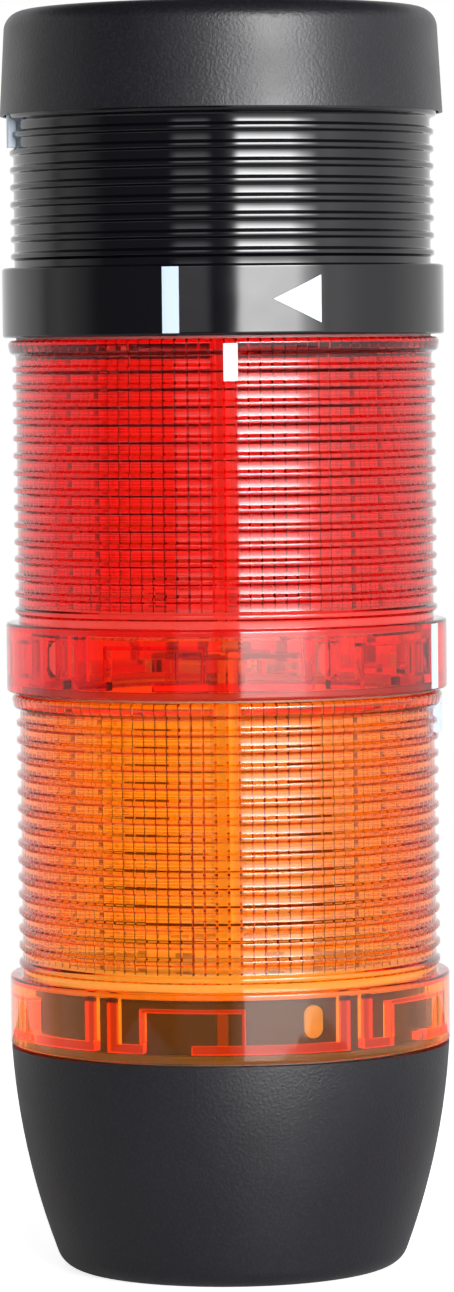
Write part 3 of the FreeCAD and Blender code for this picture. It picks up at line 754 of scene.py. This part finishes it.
def painted_glow_solder_mask(name, tint, lit, glow):
    """Glossy solder mask on a lamp board, with a painted glow in the colour lit, as on the sleeves."""
    material, tree = new_material(name)
    return finished(material, coated(
        tree, Base_Color=tint, Roughness=wander(tree, object_point(tree), 0.8, 0.25, 0.38),
        Emission_Color=lit, Emission_Strength=glow,
    ))


def bare_metal(name, tint, roughness):
    """Rolled or plated metal with fine rolling lines across it."""
    material, tree = new_material(name)
    squeezed = node(tree, "ShaderNodeMapping", i0=object_point(tree), Scale=(1.0, 1.0, 12.0)).outputs[0]
    gloss = wander(tree, squeezed, 1.2, roughness - 0.07, roughness + 0.08)
    return finished(material, coated(tree, Base_Color=tint, Roughness=gloss, Metallic=1.0))


# ---------------------------------------------------------------- operators


class STACK_OT_lenses(bpy.types.Operator):
    """The two clear lenses, ribbed outside and fluted inside."""

    bl_idname = "stack.lenses"
    bl_label = "Lenses"

    def execute(self, context):
        s, c = sizes(), colours()
        rows = shell_profile(s.lens_ribs)
        top = module_height(s.lens_ribs)
        columns = COLUMNS_PER_FLUTE * s.flute_count
        foot = joint_height("amber_bayonet")
        # The amber lens gets a painted glow of strength 0.45 on its ledges.
        amber = clear_polycarbonate("amber_polycarbonate_with_painted_ledge_glow", c.amber, 1.0, 0.45, foot)
        red = clear_polycarbonate("clear_red_polycarbonate", c.red, 1.0)
        red_line = angles().sounder_line + module_turn()
        for name, line, material in (("amber", red_line + module_turn(), amber), ("red", red_line, red)):
            height = joint_height(f"{name}_bayonet")
            skin = turned_shell(f"{name}_clear_lens", rows, columns, height, line, top, True)
            dressed(skin, f"{name}_lens", material)
        return {"FINISHED"}


class STACK_OT_sounder(bpy.types.Operator):
    """The sounder's gloss black housing."""

    bl_idname = "stack.sounder"
    bl_label = "Sounder"

    def execute(self, context):
        s = sizes()
        rows = shell_profile(s.sounder_ribs)
        top = module_height(s.sounder_ribs)
        height = joint_height("sounder_bayonet")
        line = angles().sounder_line
        skin = turned_shell("sounder_gloss_housing", rows, SOUNDER_COLUMNS, height, line, top, False)
        dressed(skin, "sounder_housing", gloss_abs("polished_black_abs", colours().gloss_black))
        return {"FINISHED"}


def give(name, material):
    """Puts a material on a CAD node."""
    for slot in NODES[name].material_slots:
        slot.material = material


class STACK_OT_blacks(bpy.types.Operator):
    """The grained black cap and base, and the satin collar inside the amber band."""

    bl_idname = "stack.blacks"
    bl_label = "Cap and base"

    def execute(self, context):
        matt = spark_eroded_abs("spark_eroded_black_abs", colours().matt_black, linear("#222128"))
        give("cap_shell", matt)
        give("base_cup", matt)
        # Satin black ABS whose brown-orange colour is a painted glow: it gives back the softbox as a broad deep orange
        # glow behind the amber band.
        give("base_collar", plain_plastic("satin_black_abs_painted_amber_glow", linear("#3A150C"), 0.36, ior=1.42))
        return {"FINISHED"}


# The finish of each piece whose name ends so.
FINISHES = {
    "seal_ring": "clear_silicone_rubber",
    "base_gasket": "black_nitrile_rubber",
    "cable_grommet": "black_nitrile_rubber",
    "index_bar": "white_inlay_abs",
    "band_line": "white_pad_print",
    "band_arrow": "white_pad_print",
    "contact_carrier": "white_moulded_nylon",
    "contact_strips": "rolled_brass",
    "contact_pins": "rolled_brass",
    "piezo_disc": "rolled_brass",
    "leds": "warm_led_gel",
    "driver_parts": "cream_resistor_lacquer",
    "resonator_case": "black_epoxy",
    "sounder_components": "black_epoxy",
    "sounder_board": "green_circuit_board",
    "deck_screws": "zinc_plated_steel",
    "terminal_clamps": "zinc_plated_steel",
    "terminal_screws": "zinc_plated_steel",
    "terminal_block": "grey_moulded_nylon",
}


class STACK_OT_fittings(bpy.types.Operator):
    """The marks, rubber rings, contacts, boards, lamps and fasteners."""

    bl_idname = "stack.fittings"
    bl_label = "Fittings"

    def execute(self, context):
        c = colours()
        clear_silicone("clear_silicone_rubber", linear("#F4F1EC"))
        # Nitrile rubber: dull and slightly powdery.
        plain_plastic("black_nitrile_rubber", linear("#131315"), 0.7)
        # Moulded inlay and printed film: bright, even white.
        plain_plastic("white_inlay_abs", c.mark_white, 0.35)
        plain_plastic("white_pad_print", c.mark_white, 0.45)
        # Nylon: a warm, slightly waxy white, and a plain mid grey.
        plain_plastic("white_moulded_nylon", c.nylon_white, 0.45)
        plain_plastic("grey_moulded_nylon", linear("#8D8F92"), 0.5)
        # Solder mask: a deep green under a soft gloss.
        plain_plastic("green_circuit_board", linear("#1D5A35"), 0.35)
        # Potting and chip epoxy: an even, dull black.
        plain_plastic("black_epoxy", linear("#121214"), 0.5)
        # Resistor lacquer: a glossy cream coat.
        plain_plastic("cream_resistor_lacquer", linear("#DCCFB6"), 0.3)
        # Phosphor gel: a wet-looking warm yellow.
        plain_plastic("warm_led_gel", linear("#E8D98A"), 0.2)
        # Brass strip and zinc plate: satin, streaked along the rolling.
        bare_metal("rolled_brass", linear("#C9A552"), 0.3)
        bare_metal("zinc_plated_steel", linear("#C6C9CE"), 0.32)
        for name in NODES:
            for end, finish in FINISHES.items():
                if name.endswith(end):
                    give(name, bpy.data.materials[finish])
        # The carriers' white rims get a painted glow of strength 0.3.
        clear = clear_with_painted_glow_rim("clear_polycarbonate_with_painted_glow_rim", linear("#FBFBF8"), 0.3)
        sleeve, brass, mask = linear("#FBFBFA"), linear("#C9A552"), linear("#E4E6E2")
        # Painted glow: the sleeves and lamp boards glow in each lens's colour, standing for the light that comes
        # through its wall.
        for module, lit in (("amber", linear("#FFB65E")), ("red", linear("#F36860"))):
            give(f"{module}_contact_carrier", clear)
            sleeved = sleeved_brass(f"brass_in_white_sleeve_painted_glow_{module}", sleeve, brass, lit, 0.8)
            give(f"{module}_contact_strips", sleeved)
            give(f"{module}_led_tower", painted_glow_solder_mask(f"white_solder_mask_painted_glow_{module}", mask, lit, 0.6))
        hooks = two_shot_nylon("black_nylon_with_natural_hooks", linear("#141416"), c.nylon_white)
        give("base_contact_carrier", hooks)
        return {"FINISHED"}


class STACK_OT_stage(bpy.types.Operator):
    """The pale floor, the soft light and the camera."""

    bl_idname = "stack.stage"
    bl_label = "Stage"

    def execute(self, context):
        scene = context.scene
        scene.view_settings.view_transform = "Standard"
        make_world(scene)
        make_floor()
        make_camera(scene)
        return {"FINISHED"}


# ---------------------------------------------------------------- stage

# The studio round the object, as (azimuth from the camera in degrees, brightness): a white surround behind and to the
# right, a grey one to the left, and darkness at the front left. The softbox stands in it at the front right.
SURROUND = [
    (-180, 1.0), (-125, 0.95), (-112, 0.8), (-104, 0.45), (-94, 0.6), (-80, 0.38), (-68, 0.1), (-5, 0.09),
    (2, 0.2), (8, 1.2), (48, 1.4), (62, 1.5), (76, 1.05), (94, 0.85), (120, 0.95), (180, 1.0),
]
SOFTBOX = [
    (-180, 0.0), (-29, 0.0), (-24, 1.3), (-9, 1.3), (-5, 0.0), (6.5, 0.0), (9.5, 20.0), (38, 20.0), (44, 9.0),
    (54, 0.0), (180, 0.0),
]
# The share of that brightness at each elevation in degrees.
SURROUND_RISE = [(-90, 0.05), (-42, 0.15), (-26, 1.0), (24, 1.0), (36, 0.06), (90, 0.03)]
SOFTBOX_RISE = [
    (-90, 0.0), (-12, 0.0), (-9, 0.05), (-6.5, 0.11), (-3.2, 0.16), (-1, 0.45), (1.5, 0.64), (3, 0.75), (5, 1.0),
    (17, 1.0), (21, 0.0), (90, 0.0),
]
# How many degrees higher the softbox's lower edge stands at its far end, and the azimuths it rises between.
SOFTBOX_SLANT = 1.0
SOFTBOX_SPAN = (14, 44)
# The white wall behind, as it lights the lenses from the back.
BEHIND = 1.35
# Half the floor's side in metres, its depth under the base in millimetres, and its glow.
FLOOR_HALF = 0.3
FLOOR_DROP = 0.02
FLOOR_GLOW = 0.8
# The camera's focal length in millimetres, place in metres, and tilt down and roll in degrees.
CAMERA_LENS = 163.06
CAMERA_PLACE = (0.00055, -0.93, 0.1458)
CAMERA_DOWN = 2.896
CAMERA_ROLL = 0.6


def ramp(tree, value, low, high, stops):
    """A smooth value that follows stops of (place, value) between low and high."""
    top = max(level for _, level in stops)
    item = node(tree, "ShaderNodeValToRGB", Fac=remap(tree, value, low, high, 0.0, 1.0))
    elements = item.color_ramp.elements
    while len(elements) < len(stops):
        elements.new(0.5)
    # The places are set first, as the elements sort themselves by place.
    for element, (place, _) in zip(elements, stops):
        element.position = (place - low) / (high - low)
    for element, (_, level) in zip(elements, stops):
        element.color = (level / top, level / top, level / top, 1.0)
    return maths(tree, "MULTIPLY", item.outputs[0], top)


def light_factors(tree, azimuth, elevation, round_stops, rise_stops):
    """The two factors of a light's brightness: by azimuth and by elevation."""
    return ramp(tree, azimuth, -180, 180, round_stops), ramp(tree, elevation, -90, 90, rise_stops)


def make_world(scene):
    """The studio as light from all round. The camera sees plain white."""
    world = bpy.data.worlds.new("studio")
    world.use_nodes = True
    tree = world.node_tree
    tree.nodes.clear()
    out = tree.nodes.new("ShaderNodeOutputWorld")
    axes = node(tree, "ShaderNodeSeparateXYZ", Vector=node(tree, "ShaderNodeTexCoord").outputs["Generated"])
    front = maths(tree, "MULTIPLY", axes.outputs["Y"], -1.0)
    azimuth = maths(tree, "DEGREES", maths(tree, "ARCTAN2", axes.outputs["X"], front))
    elevation = maths(tree, "DEGREES", maths(tree, "ARCSINE", axes.outputs["Z"]))
    surround = maths(tree, "MULTIPLY", *light_factors(tree, azimuth, elevation, SURROUND, SURROUND_RISE))
    slant = maths(tree, "MULTIPLY_ADD", remap(tree, azimuth, *SOFTBOX_SPAN, 0.0, 1.0), -SOFTBOX_SLANT, elevation)
    strength = maths(tree, "MULTIPLY_ADD", *light_factors(tree, azimuth, slant, SOFTBOX, SOFTBOX_RISE), surround)
    path = node(tree, "ShaderNodeLightPath")
    for ray, level in (("Is Transmission Ray", BEHIND), ("Is Camera Ray", 1.0)):
        kind = {"data_type": "FLOAT"}
        strength = node(tree, "ShaderNodeMix", kind, i0=path.outputs[ray], i2=strength, i3=level).outputs[0]
    light = node(tree, "ShaderNodeBackground", Color=colours().backdrop, Strength=strength)
    tree.links.new(light.outputs[0], out.inputs["Surface"])
    scene.world = world


def make_floor():
    """A plain pale floor. It glows white to the camera and through the lenses, and keeps the object's shadow."""
    half = FLOOR_HALF / MM
    points = np.array([[x * half, y * half, -FLOOR_DROP] for x, y in ((-1, -1), (1, -1), (1, 1), (-1, 1))])
    floor = mesh_object("pale_floor", points, np.array([[0, 1, 2, 3]]))
    material, tree = new_material("pale_studio_floor")
    skin = coated(
        tree, Base_Color=linear("#F2F2F2"), Roughness=wander(tree, object_point(tree), 2.0, 0.6, 0.7, 0.4)
    )
    path = node(tree, "ShaderNodeLightPath")
    seen = maths(tree, "MAXIMUM", path.outputs["Is Camera Ray"], path.outputs["Is Transmission Ray"])
    glow = node(
        tree, "ShaderNodeEmission", Color=linear("#FFFFFF"), Strength=maths(tree, "MULTIPLY", seen, FLOOR_GLOW)
    )
    both = node(tree, "ShaderNodeAddShader", i0=skin.outputs[0], i1=glow.outputs[0])
    floor.data.materials.append(finished(material, both))


def make_camera(scene):
    """A long lens a little over the middle of the stack, looking slightly down."""
    camera = bpy.data.cameras.new("camera")
    camera.lens = CAMERA_LENS
    camera.sensor_width = 36
    item = bpy.data.objects.new("camera", camera)
    scene.collection.objects.link(item)
    item.location = CAMERA_PLACE
    item.rotation_euler = (math.pi / 2 - math.radians(CAMERA_DOWN), math.radians(CAMERA_ROLL), 0)
    scene.camera = item


# ---------------------------------------------------------------- panel and running

STEPS = (STACK_OT_stage, STACK_OT_lenses, STACK_OT_sounder, STACK_OT_blacks, STACK_OT_fittings)


class STACK_PT_panel(bpy.types.Panel):
    """Lists the sizes, the colours and the steps."""

    bl_label = "Stack light"
    bl_idname = "STACK_PT_panel"
    bl_space_type = "VIEW_3D"
    bl_region_type = "UI"
    bl_category = "Stack light"

    def draw(self, context):
        for step in STEPS:
            self.layout.operator(step.bl_idname)
        for group, kind in GROUPS.items():
            for name in kind.__annotations__:
                self.layout.prop(getattr(context.scene, group), name)


CLASSES = (*GROUPS.values(), *STEPS, STACK_PT_panel)


def register():
    for kind in CLASSES:
        bpy.utils.register_class(kind)
    for group, kind in GROUPS.items():
        setattr(bpy.types.Scene, group, bpy.props.PointerProperty(type=kind))


def unregister():
    for group in GROUPS:
        delattr(bpy.types.Scene, group)
    for kind in reversed(CLASSES):
        bpy.utils.unregister_class(kind)


def main():
    """Registers the panel and its settings, then makes every piece in order."""
    register()
    for step in STEPS:
        space, name = step.bl_idname.split(".")
        getattr(getattr(bpy.ops, space), name)()


if __name__ == "__main__":
    main()
